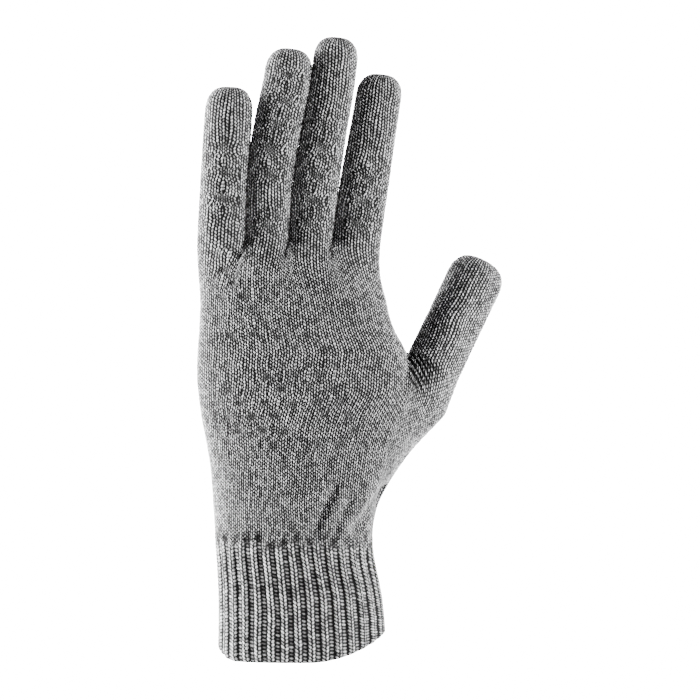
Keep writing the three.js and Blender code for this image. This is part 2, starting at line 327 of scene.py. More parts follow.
# Thumb side, little finger side and half depth at each height.
def bodySection(z):
    return between(stations, z)


# Distance from the middle of a rounded section to its edge.
def sectionReach(angle, halfWidth, halfDepth, roundness):
    across = np.abs(np.cos(angle) / halfWidth) ** roundness
    through = np.abs(np.sin(angle) / halfDepth) ** roundness
    return (across + through) ** (-1 / roundness)


# Each row's points moved along their own line to even steps, or to the given shares of it.
def evenlySpaced(rows, shares):
    steps = np.linalg.norm(np.diff(rows, axis=1), axis=2)
    length = np.concatenate([np.zeros((len(rows), 1)), np.cumsum(steps, 1)], 1)
    placed = np.empty((len(rows), shares.shape[-1], 3))
    for row in range(len(rows)):
        target = shares[row] * length[row, -1]
        for axis in range(3):
            placed[row, :, axis] = np.interp(target, length[row], rows[row, :, axis])
    return placed


# The hand's rings at the given heights, from the little finger side over the back.
def handRings(z, columns):
    section = bodySection(z)
    right, left, depth = section[:, 0:1], section[:, 1:2], section[:, 2:3]
    angle = np.pi + np.linspace(0, 2 * np.pi, hand["ringSteps"])[None, :]
    reach = sectionReach(angle, (right - left) / 2, depth, hand["roundness"])
    ring = np.stack([(right + left) / 2 + reach * np.cos(angle), reach * np.sin(angle),
                     np.broadcast_to(z[:, None], reach.shape)], 2)
    shares = np.broadcast_to(np.arange(columns) / columns, (len(z), columns))
    return evenlySpaced(ring, shares)


fingerShape = {                # stations: distance up it, sideways shift and width, in mm
    "index": {"wales": 22, "depth": 17.0, "curl": 5, "stations": [
        (0, -2.0, 18.9), (24, -1.6, 18.9), (43, -0.8, 17.9), (66, 0.0, 17.4)]},
    "middle": {"wales": 22, "depth": 17.4, "curl": 6, "stations": [
        (0, -2.3, 17.1), (24, -2.2, 17.8), (43, -1.1, 17.4), (62, 0.3, 17.2), (81, 0.5, 17.0)]},
    "ring": {"wales": 22, "depth": 17.0, "curl": 5, "stations": [
        (0, -0.8, 17.0), (24, -2.1, 17.9), (43, -1.3, 18.5), (62, 0.4, 18.4), (76, 0.7, 17.6)]},
    "little": {"wales": 20, "depth": 16.8, "curl": 4, "stations": [
        (0, -0.3, 18.7), (24, -0.3, 18.2), (43, 0.1, 18.4), (60, 0.4, 17.8)]},
}
fingerOrder = ["little", "ring", "middle", "index"]  # from left to right on the back
fingerTips = {"roundness": 2.15, "dome": 0.5, "square": 0.74}  # dome: its height over its width
hingeShares = {"base": 0.1, "knuckle": 0.36, "end": 0.68}
hingeDepth = 3 * mm
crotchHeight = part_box("upper_hand")[1].z + 0.35 * mm


# A finger's straight direction, its bend line and its start, from its packed joint.
def fingerFrame(name):
    shape = fingerShape[name]
    joint = joints[name + "_base_bend"]
    across = -np.array(joint["axis"], float)
    along = np.cross(across, [0, 1, 0])
    along = along / np.linalg.norm(along)
    length = (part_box(name + "_tip")[1].z - crotchHeight) / along[2]
    start = np.array(joint["pos_m"]) - along * length * hingeShares["base"] - [0, hingeDepth, 0]
    start = start + along * (crotchHeight - start[2]) / along[2]
    return {"start": start, "along": along, "across": across, "length": length,
            "curl": shape["curl"] * mm, "stations": np.array(shape["stations"]) * mm,
            "depth": shape["depth"] * mm, "wales": shape["wales"], "first": np.pi, **fingerTips}


thumbShape = {
    "base": (51.6, 10, 114.8), "lean": 25.5, "forward": 9, "turn": 48, "length": 46.4,
    "stations": [(0, 0.9, 22.2), (20, 1.1, 22.0), (46, 1.1, 22.6)], "depth": 20.4, "wales": 28,
    "start": 132,              # degrees round the tube where it faces the hand
    "tip": {"roundness": 2.3, "dome": 0.42, "square": 0.6},
    "root": [(16.6, 3, 72, 13.5), (33.2, 6, 91.2, 13.8), (44.4, 8.2, 102.2, 13.0)],
    "intoTube": 12 * mm,       # how far the root runs on inside the tube
    "fillet": 5 * mm,
    "path": [(24, 3, 74), (36, 6, 93)],   # of the line that the rays leave on the thumb side
    "shares": {"base": 0.14, "knuckle": 0.44},
}


# The thumb's direction from its two leans, with its bend line turned round that direction.
def thumbFrame():
    lean, forward = math.radians(thumbShape["lean"]), math.radians(thumbShape["forward"])
    along = np.array([math.sin(lean) * math.cos(forward), math.sin(forward),
                      math.cos(lean) * math.cos(forward)])
    across = np.array([math.cos(lean), 0, -math.sin(lean)])
    turn = math.radians(thumbShape["turn"])
    across = (across * math.cos(turn) + np.cross(along, across) * math.sin(turn)
              + along * (along @ across) * (1 - math.cos(turn)))
    return {"start": np.array(thumbShape["base"]) * mm, "along": along, "across": across,
            "length": thumbShape["length"] * mm, "curl": 0.0,
            "stations": np.array(thumbShape["stations"]) * mm, "depth": thumbShape["depth"] * mm,
            "wales": thumbShape["wales"], "first": math.radians(thumbShape["start"]),
            **thumbShape["tip"]}


# Length over a tip's dome, from its side to its middle: a quarter of an oval.
def domeRun(finger):
    return math.pi / 4 * finger["stations"][-1, 2] * (finger["dome"] + 0.5)


# Points of a finger: distance is along its middle line, angle is round it, and past the
# end of its straight side the section closes as a rounded dome.
def fingerPoints(finger, distance, angle):
    dome = finger["stations"][-1, 2] * finger["dome"]
    sideEnd = finger["length"] - dome
    over = np.clip((distance - sideEnd) / domeRun(finger), 0, 1)
    rise = np.sin(over * np.pi / 2)
    reach = np.cos(over * np.pi / 2) ** finger["square"]
    height = np.where(distance > sideEnd, sideEnd + rise * dome, distance)
    share = height / finger["length"]
    sideways, width = np.moveaxis(between(finger["stations"], np.clip(height, 0, None)), -1, 0)
    halfWidth = width / 2
    edge = sectionReach(angle, halfWidth, finger["depth"] / 2, finger["roundness"]) * reach
    through = np.cross(finger["along"], finger["across"])
    through = through / np.linalg.norm(through)
    palm = np.array([0, 1, 0])
    return (finger["start"] + height[..., None] * finger["along"]
            + (finger["curl"] * np.clip(share, 0, 2)[..., None] ** 2) * palm
            + (sideways + edge * np.cos(angle))[..., None] * finger["across"]
            + (edge * np.sin(angle))[..., None] * through)


fingers = {name: fingerFrame(name) for name in fingerOrder}
thumb = thumbFrame()


waleDrift = {
    "fadeIn": 6 * mm, "fadeOut": 9 * mm,
    "thumb": (0.10, 19 * mm, 7 * mm),      # turn in radians, place up the thumb, half width
    "fingers": (0.06, 11 * mm, 1.7),       # turn, wave length over 2 pi, step to the next finger
    "tipShare": 0.988,                     # the last ring stays open this far short of the tip
}


# A finger's stitch grid: rings at even courses, whose wales turn to one side in a bell at the
# thumb's knuckle, and in a slow sine on the others.
def fingerGrid(finger, name):
    course = np.arange(-1, finger["courses"] + 1)
    length = finger["run"]
    distance = course * (length / finger["courses"])
    angle = finger["first"] + 2 * np.pi * np.arange(finger["wales"]) / finger["wales"]
    distance, angle = np.meshgrid(distance, angle, indexing="ij")
    settle = (smooth(distance / waleDrift["fadeIn"])
              * smooth((length - distance) / waleDrift["fadeOut"]))
    if name == "thumb":
        turn, place, width = waleDrift["thumb"]
        angle = angle - turn * np.exp(-((distance - place) / width) ** 2) * settle
    else:
        turn, wave, step = waleDrift["fingers"]
        angle = angle + turn * np.sin(distance / wave + fingerOrder.index(name) * step) * settle
    return fingerPoints(finger, np.minimum(distance, length * waleDrift["tipShare"]), angle)


for finger in list(fingers.values()) + [thumb]:
    finger["run"] = finger["length"] - finger["stations"][-1, 2] * finger["dome"] + domeRun(finger)
    finger["courses"] = int(round(finger["run"] / knit["course"]))


# How far each ring is drawn to the openings above it: sideways and up by a smooth step over
# the fan, and in depth by a steeper one over the pinch.
def drawIn(under, fan):
    turn = smooth(1 - under / fan)
    return np.stack([turn, smooth(1 - under / hand["pinch"]) ** hand["pinchEdge"], turn], 2)


# The upper hand's rings draw in towards the finger tubes just under the crotches.
def upperHandGrid():
    courses = int(round((crotchHeight - hand["thumbCrotch"]) / knit["course"]))
    z = (hand["thumbCrotch"]
         + (crotchHeight - hand["thumbCrotch"]) * np.arange(-2, courses + 3) / courses)
    grid = handRings(z, hand["wales"])
    front = [fingers[name] for name in fingerOrder]
    target = np.zeros_like(grid)
    weight = np.zeros(hand["wales"])
    column = 0
    for side, order in ((0, front), (1, front[::-1])):
        for finger in order:
            wales = finger["wales"] // 2
            angle = (np.pi if side == 0 else 0) + np.pi * np.arange(wales + 1) / wales
            distance = (z - crotchHeight) / finger["along"][2]
            place = fingerPoints(finger, *np.meshgrid(distance, angle, indexing="ij"))
            columns = (column + np.arange(wales + 1)) % hand["wales"]
            target[:, columns] += place
            weight[columns] += 1
            column += wales
    target /= weight[None, :, None]
    draw = drawIn((crotchHeight - z)[:, None], hand["fan"])
    return grid * (1 - draw) + target * draw, courses


depthGain, depthLeast = 1.15, 0.45   # slow the distance down on the flat sides, never below this


# Signed distance to the hand's tube: how far the point is from the middle, less the section's
# reach that way, made smaller where the edge runs at a slant.
def bodyDistance(p):
    section = bodySection(np.clip(p[..., 2], 0, crotchHeight))
    middle = (section[..., 0] + section[..., 1]) / 2
    x, y = p[..., 0] - middle, p[..., 1]
    far = np.maximum(np.hypot(x, y), 1e-9)
    reach = sectionReach(np.arctan2(y, x), (section[..., 0] - section[..., 1]) / 2,
                         section[..., 2], hand["roundness"])
    steep = 1 / np.sqrt(1 + ((far - reach) / far) ** 2)
    narrow = section[..., 2] / np.maximum(reach, 1e-9)
    return (far - reach) * np.clip(narrow * depthGain, depthLeast, 1) * steep


# Signed distance to a cone with round ends between two spheres.
def coneDistance(p, a, b, radiusA, radiusB):
    run = b - a
    share = np.clip(((p - a) @ run) / (run @ run), 0, 1)
    return np.linalg.norm(p - a - share[..., None] * run, axis=-1) - (radiusA + (radiusB - radiusA) * share)


rootCentres = [np.array(row[:3]) * mm for row in thumbShape["root"]]
rootRadii = [row[3] * mm for row in thumbShape["root"]]
rootCentres.append(thumb["start"])
rootRadii.append((thumb["stations"][0, 2] + thumb["depth"]) / 4)
rootCentres.append(thumb["start"] + thumb["along"] * thumbShape["intoTube"])
rootRadii.append(rootRadii[-1])


# Signed distance to the hand with its thumb: the two run together with a soft fillet.
def handDistance(p):
    thumbPart = np.full(p.shape[:-1], 1.0)
    for index in range(len(rootCentres) - 1):
        part = coneDistance(p, rootCentres[index], rootCentres[index + 1],
                            rootRadii[index], rootRadii[index + 1])
        thumbPart = np.minimum(thumbPart, part)
    handPart = bodyDistance(p)
    soft = thumbShape["fillet"]
    mixShare = np.clip(0.5 + 0.5 * (handPart - thumbPart) / soft, 0, 1)
    return handPart * (1 - mixShare) + thumbPart * mixShare - soft * mixShare * (1 - mixShare)


# A soft polyline's point for each share of its rows.
def alongPath(path, share):
    path = np.array(path)
    steps = np.concatenate([[0], np.cumsum(np.linalg.norm(np.diff(path, axis=0), axis=1))])
    return np.stack([np.interp(share * steps[-1], steps, path[:, axis]) for axis in range(3)], -1)


rays = {
    "count": 881,              # points round a ring, four equal stretches and one to close it
    "from": 34 * mm,           # outside the hand everywhere
    "steps": 26, "stride": 0.8,
    "tiltFrom": 0.35,          # share of the way to the thumb where its rays start to lean
    "evenings": 12,            # how many times the wales' places are evened out over the courses
}


# The lower hand's rings as dense points. Rays leave a line from the hand's middle to the
# thumb's, and each walks in by a share of its distance to the surface until it is there.
def surfaceRings(share, z):
    section = bodySection(z)
    leftEnd = np.stack([section[:, 1] + section[:, 2], 0 * z, z], 1)
    foot = bodySection(hand["ribTop"])
    path = [(foot[0] - foot[2], 0, hand["ribTop"]), *np.array(thumbShape["path"]) * mm, thumb["start"]]
    rightEnd = alongPath(path, np.clip(share, 0, 1))
    rightEnd[share < 0, 2] = z[share < 0]
    # q runs once round: left cap, back, right cap, palm and left cap again
    q = np.linspace(0, 4, rays["count"])[None, :] + np.zeros((len(z), 1))
    along = np.where(q < 2, np.clip(q - 0.5, 0, 1), 1 - np.clip(q - 2.5, 0, 1))
    turn = np.pi + np.where(q < 0.5, q, np.where(q < 1.5, 0.5, np.where(
        q < 2.5, q - 1, np.where(q < 3.5, 1.5, q - 2)))) * np.pi
    tilt = (smooth(share)[:, None] * math.radians(thumbShape["lean"])
            * smooth((along - rays["tiltFrom"]) / (1 - rays["tiltFrom"])))
    direction = np.stack([np.cos(turn) * np.cos(tilt), np.sin(turn), -np.cos(turn) * np.sin(tilt)], 2)
    centre = leftEnd[:, None, :] * (1 - along[..., None]) + rightEnd[:, None, :] * along[..., None]
    far = np.full(q.shape, rays["from"])
    for _ in range(rays["steps"]):
        far = far - rays["stride"] * handDistance(centre + far[..., None] * direction)
    return centre + far[..., None] * direction


# Each wale's place round the ring, from 0 to 1. The hand's wales stay upright, and the
# thumb's lie between the two places where the ring passes the crotch, which close up to a
# wedge at the wrist.
def waleShares(dense, share):
    steps = np.cumsum(np.linalg.norm(np.diff(dense, axis=1), axis=2), 1)
    steps = np.concatenate([np.zeros((len(dense), 1)), steps], 1)
    steps = steps / steps[:, -1:]
    wales = hand["wales"] + thumb["wales"]
    knots = [0, handFront, thumbLast, wales]
    stretch = (rays["count"] - 1) // 4
    backPart = slice(stretch // 2, stretch * 3 // 2 + 1)
    palmPart = slice(stretch * 5 // 2, stretch * 7 // 2 + 1)
    shares = np.empty((len(dense), wales))
    for row in range(len(dense)):
        crotchX = min(bodySection(hand["thumbCrotch"])[0], dense[row, :, 0].max() - hand["thumbSide"])
        back = np.interp(crotchX, dense[row, backPart, 0], steps[row, backPart])
        palm = np.interp(-crotchX, -dense[row, palmPart, 0], steps[row, palmPart])
        wedge = smooth(share[row] / hand["gussetRise"])
        half = (palm - back) / 2 * (hand["gussetFoot"] + (1 - hand["gussetFoot"]) * wedge)
        side = (back + palm) / 2
        shares[row] = np.interp(np.arange(wales), knots, [0, side - half, side + half, 1])
    # each share is evened out over the courses above and below it
    for _ in range(rays["evenings"]):
        shares[1:-1] = (shares[:-2] + 2 * shares[1:-1] + shares[2:]) / 4
    return shares


# The ring that the lower hand ends at: the hand's opening and the thumb's, which meet at the
# middle between their nearest points.
def crotchOpenings():
    hole = handRings(np.array([hand["thumbCrotch"]]), hand["wales"])[0]
    thumbAngle = thumb["first"] + 2 * np.pi * np.arange(thumb["wales"] + 1) / thumb["wales"]
    thumbRing = fingerPoints(thumb, np.zeros(thumb["wales"] + 1), thumbAngle)
    ring = np.concatenate([hole[:handFront + 1], thumbRing[1:], hole[handFront + 1:]])
    ring[[handFront, thumbLast]] = (hole[handFront] + thumbRing[0]) / 2
    return ring


# The lower hand's stitch grid: its rings with their wales placed, whose last courses part
# into the two openings, and a ghost course that carries on as the last one does.
def lowerHandGrid():
    height = hand["thumbCrotch"] - hand["ribTop"]
    courses = int(round(height / knit["course"]))
    share = np.arange(-1, courses + 1) / courses
    dense = surfaceRings(share, hand["ribTop"] + height * share)
    shares = waleShares(dense, share)
    grid = evenlySpaced(dense, shares)
    ring = crotchOpenings()
    draw = drawIn(((1 - share) * height)[:, None], hand["thumbFan"])
    ahead = grid + (ring - grid[-1])[None] * draw
    ghost = 2 * ahead[-1] - ahead[-2]
    return np.concatenate([ahead, ghost[None]]), courses, ring, shares[1]


handFront = hand["wales"] // 2            # wales on the back, before the thumb's
thumbLast = handFront + thumb["wales"]
upperGrid, upperCourses = upperHandGrid()
lowerGrid, lowerCourses, openings, wristShares = lowerHandGrid()
upperGrid[2] = np.concatenate([openings[:handFront + 1], openings[thumbLast + 1:]])
borders = (lowerCourses, lowerCourses + upperCourses)
print("hand shaped:", lowerCourses, "and", upperCourses, "courses")


wristCreases = {
    # from (x, z) to (x, z), depth and half width, in mm, on the back above the cuff
    "lines": [(4.8, 50, 14, 69, 1.6, 1.8), (13.2, 50, 19, 63, 1.3, 1.5), (20.5, 50, 33, 67, 1.9, 2.1)],
    "past": 3, "fade": 5,      # how far a crease runs past its ends, and fades, in mm
    "swell": 0.6, "swellPlace": 2.6, "swellWidth": 1.4,   # beside it, in its own half widths
}


# Depth of the wrist's creases at each point: a bell across each line, less a lower and wider
# bell beside it, and both fade at the line's ends.
def creaseDepth(p):
    x, z = p[..., 0] / mm, p[..., 2] / mm
    depth = np.zeros(x.shape)
    for x0, z0, x1, z1, deep, width in wristCreases["lines"]:
        run = math.hypot(x1 - x0, z1 - z0)
        dx, dz = (x1 - x0) / run, (z1 - z0) / run
        forward = (x - x0) * dx + (z - z0) * dz
        aside = (x - x0) * dz - (z - z0) * dx
        past, fade = wristCreases["past"], wristCreases["fade"]
        ends = smooth((forward + past) / fade) * smooth((run + past - forward) / fade)
        bell = np.exp(-(aside / width) ** 2)
        beside = (aside + wristCreases["swellPlace"] * width) / (wristCreases["swellWidth"] * width)
        swell = np.exp(-beside ** 2)
        depth += (deep * bell - wristCreases["swell"] * swell) * ends
    return depth * mm * (p[..., 1] < 0)


dimples = {
    # shade is the tone that a dimple is drawn to: painted shade in its pit
    "depth": 0.5 * mm, "blur": 0.75, "shade": 0.24,
    "flatten": 0.5,            # share of the relief that a dimple takes away
    "size": (0.95, 0.95),      # half a dimple, in wales and courses
    "reach": (2.4, 1.9),       # how far around it the stitches are pulled
    "pullUp": 0.4,             # of the pull sideways
    "jitter": (0.5, 0.9), "uneven": 0.45, "missing": 0.14,
}
fingerSpots = {
    "step": (4.6, 3.7), "pull": 0.7, "second": 0.4,   # second: strength of every other row
    "firstRow": 3.5, "width": 3.1, "fade": 8,
    "upTo": {"little": 0.62, "ring": 0.9, "middle": 0.62, "index": 0.5},
}
handSpots = {
    "step": (4.7, 3.9), "pull": 0.25, "second": 1.0, "first": (2.0, 1.0),
    "left": (-37, 5), "low": (74, 12),                # where they start in mm, and over how much
    "right": (22, 12), "lean": 0.25, "leanFrom": 120,
    "thin": 0.75, "thinUp": (118, 16), "thinRight": (-22, 10), "salt": 9,
}


# Dimples in a brick pattern of wales and courses: how flat each point is, from 0 to 1, and
# how far the stitches' own count is shifted there, so that they crowd into the dimple. Both
# are bells round each spot's middle, the pull one wider and times the distance to it.
def brickDimples(u, v, spots, first, area, salt):
    uStep, vStep = spots["step"]
    row = np.round((v - first[1]) / vStep)
    second = row % 2 != 0
    offset = first[0] + np.where(second, 0.5, 0.0) * uStep
    place = np.round((u - offset) / uStep)
    du = u - offset - place * uStep - dimples["jitter"][0] * (cellNoise(place, row, salt) - 0.5)
    dv = v - first[1] - row * vStep - dimples["jitter"][1] * (cellNoise(place, row, salt + 20) - 0.5)
    strength = area * (1 - dimples["uneven"] * (1 - cellNoise(place, row, salt + 40)))
    strength = strength * (cellNoise(place, row, salt + 60) > dimples["missing"])
    strength = strength * np.where(second, spots["second"], 1.0)
    (wide, high), (farWide, farHigh) = dimples["size"], dimples["reach"]
    flat = strength * np.exp(-(du / wide) ** 4 - (dv / high) ** 4)
    near = strength * np.exp(-(du / farWide) ** 2 - (dv / farHigh) ** 2)
    return flat, spots["pull"] * du * near, dimples["pullUp"] * spots["pull"] * dv * near


# A finger's dimples: in a strip up the middle of its back that fades before its tip.
def fingerDimples(name, wales, first, last):
    # the strip is a flat bell across the wales, and its top a smooth step
    def spots(u, v, base):
        middle = np.exp(-((u % wales - wales / 4) / fingerSpots["width"]) ** 6)
        top = first + fingerSpots["upTo"][name] * (last - first)
        area = middle * smooth((top - v) / fingerSpots["fade"])
        return brickDimples(u, v, fingerSpots, (wales / 4, first + fingerSpots["firstRow"]), area,
                            fingerOrder.index(name) + 1)
    return spots


# The hand's dimples: on its back, between smooth steps at the left, below and at the right,
# and fewer near the index finger.
def handDimples(u, v, base):
    # a smooth step from 0 to 1 that starts at the edge
    def past(value, edge):
        return smooth((value - edge[0]) / edge[1])
    x, z = base[..., 0] / mm, base[..., 2] / mm
    right, fade = handSpots["right"]
    edge = right + handSpots["lean"] * (handSpots["leanFrom"] - z)
    area = past(x, handSpots["left"]) * past(z, handSpots["low"]) * smooth((edge - x) / fade)
    upper = 1 - handSpots["thin"] * past(z, handSpots["thinUp"]) * past(x, handSpots["thinRight"])
    return brickDimples(u, v, handSpots, handSpots["first"], area * upper * (base[..., 1] < 0),
                        handSpots["salt"])


cuff = {
    "ribs": 34, "columnsPerRib": 12, "course": 1.44 * mm,
    "ridge": 0.60,             # share of the period that stands proud
    "ridgeEdge": 0.7,          # lower makes its sides steeper
    "ridgeFoot": 0.4,          # share of its height that lies under the hand's own surface
    "leftLeg": 0.6, "legs": {"leftSlant": 1.15, "rightSlant": 0.4, "rightStart": 0.3, "uneven": 0.40},
    "sunkTone": (0.52, 0.26),  # of the sunk wale: its least, and what noise adds
    "bump": (0.3, 0.2, 0.8),   # depth, shift and slant of its level bumps
    "height": 1.05 * mm, "relief": 0.42 * mm, "fade": 7 * mm,
    "topShare": 0.4,           # of the ridge's height that is left at the top of the rib
    "wall": 2.3 * mm, "insideWave": 0.3 * mm, "rollIn": 0.9 * mm, "roll": 2.2 * mm,
    "overlap": 1.0 * mm,       # how far the rib runs on past its top
    # runShade is painted shade in the valleys where the ridges run on above the cuff
    "runLeast": 2 * mm, "runMore": 5 * mm, "runFade": 5 * mm, "runShade": 0.45,
    "hemRise": 9 * mm, "hemFrom": 2 * mm, "hemTo": 32 * mm, "hemSpread": 26 * mm,
    "corner": 2.5 * mm, "cornerFrom": -26 * mm, "cornerRun": 6 * mm,
    "hemCourses": 2, "mapScale": (0.6, 1),
    "stray": 0.04,             # how far a rib strays to its sides, in ribs
    "unevenRidges": 0.18,      # how much the ridges' heights differ
    "sunkRelief": 0.35,        # share of the stitches' relief between the ridges
    # sunkShade is painted shade that darkens the sunk wales between the ridges; mottle is the yarn's own
    # unevenness
    "sunkShade": 0.12, "mottle": (0.90, 0.25),
}


# The rib's height from 0 to 1 round one period, and its stitches: a ridge of V shapes, which
# is a sine bump to a power, and the sunk wale of short level bumps between two ridges.
# the stitches' value is also their tone, so it holds painted shade in the gaps and at the ridges' feet
def ribHeight(u, v):
    share = u % 1
    onRidge = share < cuff["ridge"]
    across = np.clip(share / cuff["ridge"], 0, 1)
    ridge = np.where(onRidge, np.sin(np.pi * across) ** cuff["ridgeEdge"], 0)
    left = across < cuff["leftLeg"]
    leg = np.where(left, across / cuff["leftLeg"], (across - cuff["leftLeg"]) / (1 - cuff["leftLeg"]))
    stitch = np.sin(np.pi * leg) * strokes(cuff["legs"], np.floor(u), left, leg, v, 3)
    deep, shift, slant = cuff["bump"]
    level = v + shift * np.sin(9 * np.floor(u)) + slant * share
    sunk = np.sin(np.pi * np.clip((share - cuff["ridge"]) / (1 - cuff["ridge"]), 0, 1))
    least, more = cuff["sunkTone"]
    bump = 1 - deep + deep * np.cos(2 * np.pi * level)
    return ridge, np.where(onRidge, stitch, bump * np.sqrt(sunk) * (least + more * cellNoise(u, v, 13)))


yarn = {
    # dark is painted shade: the near black that the gaps between the stitches are given
    "light": (0.78, 0.78, 0.785), "dark": (0.004, 0.004, 0.0042),
    "ramp": (0.27, 0.44, 0.64), "middleLight": 0.30,   # tones of dark, middle and light
    "heather": 0.75, "speckles": 2600.0,               # strength, and how many to the metre
    "patch": 0.10, "patches": 240.0,
    "roughness": 0.94, "sheen": 0.12, "sheenRoughness": 0.45, "specular": 0.25,
    "fibre": 0.12 * mm, "fibreScale": (16.0, 5.0, 1.0), "fibreTurn": 0.5, "fibreBump": 0.8,
}


# A shader node whose values are set on its sockets, or on itself where it has no such socket.
def newNode(tree, kind, **values):
    node = tree.nodes.new(kind)
    for key, value in values.items():
        if key in node.inputs:
            node.inputs[key].default_value = value
        else:
            setattr(node, key, value)
    return node


# Yarn: a ramp turns its tone from dark gaps, which are painted shade, to light strokes, times a
# speckle for each tiny cell and a slow noise, and fibres run along it as bump.
def yarnMaterial(name):
    material = bpy.data.materials.new(name)
    material.use_nodes = True
    tree = material.node_tree
    shader = tree.nodes["Principled BSDF"]
    shader.inputs["Roughness"].default_value = yarn["roughness"]
    shader.inputs["Sheen Weight"].default_value = yarn["sheen"]
    shader.inputs["Sheen Roughness"].default_value = yarn["sheenRoughness"]
    shader.inputs["Specular IOR Level"].default_value = yarn["specular"]
    link = tree.links.new
    tone = newNode(tree, "ShaderNodeAttribute", attribute_name="tone")
    ramp = newNode(tree, "ShaderNodeValToRGB")
    stops = ramp.color_ramp.elements
    stops[0].color, stops[0].position = (*yarn["dark"], 1), yarn["ramp"][0]
    stops[1].color, stops[1].position = (*yarn["light"], 1), yarn["ramp"][2]
    share = yarn["middleLight"]
    stops.new(yarn["ramp"][1]).color = (
        *[share * light + (1 - share) * dark for light, dark in zip(yarn["light"], yarn["dark"])], 1)
    link(tone.outputs["Fac"], ramp.inputs["Fac"])
    place = newNode(tree, "ShaderNodeTexCoord")
    fine = newNode(tree, "ShaderNodeTexVoronoi", Scale=yarn["speckles"])
    broad = newNode(tree, "ShaderNodeTexNoise", Scale=yarn["patches"], Detail=3.0, Roughness=0.55)
    link(place.outputs["Object"], fine.inputs["Vector"])
    link(place.outputs["Object"], broad.inputs["Vector"])
    speckle = newNode(tree, "ShaderNodeMapRange",
                      **{"To Min": 1 - yarn["heather"], "To Max": 1 + yarn["heather"]})
    link(fine.outputs["Color"], speckle.inputs["Value"])
    patch = newNode(tree, "ShaderNodeMapRange",
                    **{"From Min": 0.3, "From Max": 0.7,   # where this noise mostly lies
                       "To Min": 1 - yarn["patch"], "To Max": 1 + yarn["patch"]})
    link(broad.outputs["Fac"], patch.inputs["Value"])
    both = newNode(tree, "ShaderNodeMath", operation="MULTIPLY")
    link(speckle.outputs["Result"], both.inputs[0])
    link(patch.outputs["Result"], both.inputs[1])
    colour = newNode(tree, "ShaderNodeVectorMath", operation="SCALE")
    link(ramp.outputs["Color"], colour.inputs[0])
    link(both.outputs["Value"], colour.inputs["Scale"])
    link(colour.outputs["Vector"], shader.inputs["Base Color"])
    # fibres: noise drawn out along the wales on the stitch map
    chart = newNode(tree, "ShaderNodeUVMap", uv_map="stitches")
    stretch = newNode(tree, "ShaderNodeMapping", Scale=yarn["fibreScale"],
                      Rotation=(0, 0, yarn["fibreTurn"]))
    link(chart.outputs["UV"], stretch.inputs["Vector"])
    fibres = newNode(tree, "ShaderNodeTexNoise", Scale=1.0, Detail=3.0, Roughness=0.7)
    link(stretch.outputs["Vector"], fibres.inputs["Vector"])
    bump = newNode(tree, "ShaderNodeBump", Strength=yarn["fibreBump"], Distance=yarn["fibre"])
    link(fibres.outputs["Fac"], bump.inputs["Height"])
    link(bump.outputs["Normal"], shader.inputs["Normal"])
    return material


plainYarn = yarnMaterial("greyMarlKnit")
ribYarn = yarnMaterial("greyMarlRib")


# A piece's material, its slot name, which is not used, and the CAD nodes that it stands for.
def dress(piece, material, slotName, *nodes):
    piece.data.materials.append(material)
    if nodes:
        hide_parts(*nodes)


# The hand's grid is cut between courses, so that no piece is too heavy.
def cutCourses(total, parts):
    return [round(total * part / parts) for part in range(parts + 1)]


# The rows of a grid from one course to another, with a ghost course below and above them.
def layer(grid, low, high, first):
    start, end = first + low - 1, first + high + 2
    return grid[start:end]


# The ridges of the cuff run on above it and die away by a smooth step, each at its own height, with painted
# shade in the valleys between them.
def ribRun(u, v, base):
    wales = len(wristShares)
    turn = np.interp(u, np.arange(wales + 1), np.append(wristShares, 1)) * cuff["ribs"]
    top = hand["ribTop"] + cuff["runLeast"] + cuff["runMore"] * cellNoise(turn, 0 * turn, 11)
    level = smooth((top - base[..., 2]) / cuff["runFade"])
    ridge = ribHeight(turn, v)[0]
    raised = cuff["height"] * cuff["topShare"] * (ridge - cuff["ridgeFoot"]) * level
    return raised, cuff["runShade"] * level * (1 - ridge)


rucks = {
    # shade is painted shade in the troughs of the waves
    "height": 0.45 * mm, "step": 2.3, "shade": 0.3,
    "middle": (3, -5), "radius": 9,            # of the rucked area, in mm from the crotch
    "across": (0.80, 0.60), "bend": 0.04,      # the way that the waves follow each other
    "edge": (-2, 4),                           # where they start on the thumb side
}
crotchPoint = openings[handFront]


# Rucks where the thumb parts from the hand: sine waves that fade away from their middle, with painted shade
# in their troughs.
def thumbRucks(u, v, base):
    dx = (base[..., 0] - crotchPoint[0]) / mm
    dz = (base[..., 2] - crotchPoint[2]) / mm
    far = np.hypot(dx - rucks["middle"][0], dz - rucks["middle"][1])
    across = rucks["across"][0] * dx + rucks["across"][1] * dz + rucks["bend"] * dx * dx
    edge, fade = rucks["edge"]
    mask = np.exp(-((far / rucks["radius"]) ** 4)) * smooth((dx - edge) / fade)
    wave = np.sin(2 * np.pi * across / rucks["step"])
    return rucks["height"] * wave * mask, rucks["shade"] * (1 - wave) * mask


creased = lowerGrid - gridNormals(lowerGrid) * creaseDepth(lowerGrid)[..., None]
lowerPieces = [                # name, CAD nodes that it stands for, folds
    ("wrist_knit", ("wrist_fold",), ribRun), ("heel_knit", ("lower_hand",), None),
    ("palm_knit", (), thumbRucks), ("thumb_root_knit", (), thumbRucks),
]
upperPieces = [("upper_hand_knit", ("upper_hand",), None), ("knuckle_knit", (), None)]


# The hand's pieces from one grid: those that reach the wrist stay in place, the others ride.
def makeHand(pieces, grid, courses, ghosts, vFirst, bending):
    cuts = cutCourses(courses, len(pieces))
    for part, (name, nodes, folds) in enumerate(pieces):
        low, high = cuts[part], cuts[part + 1]
        piece = knittedTube(name, layer(grid, low, high, ghosts), (1, 1), vFirst + low,
                            dimple=handDimples, folds=folds)
        dress(piece, plainYarn, "plain_knit", *nodes)
        if part < bending:
            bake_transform(piece)
        else:
            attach(piece, "hand")


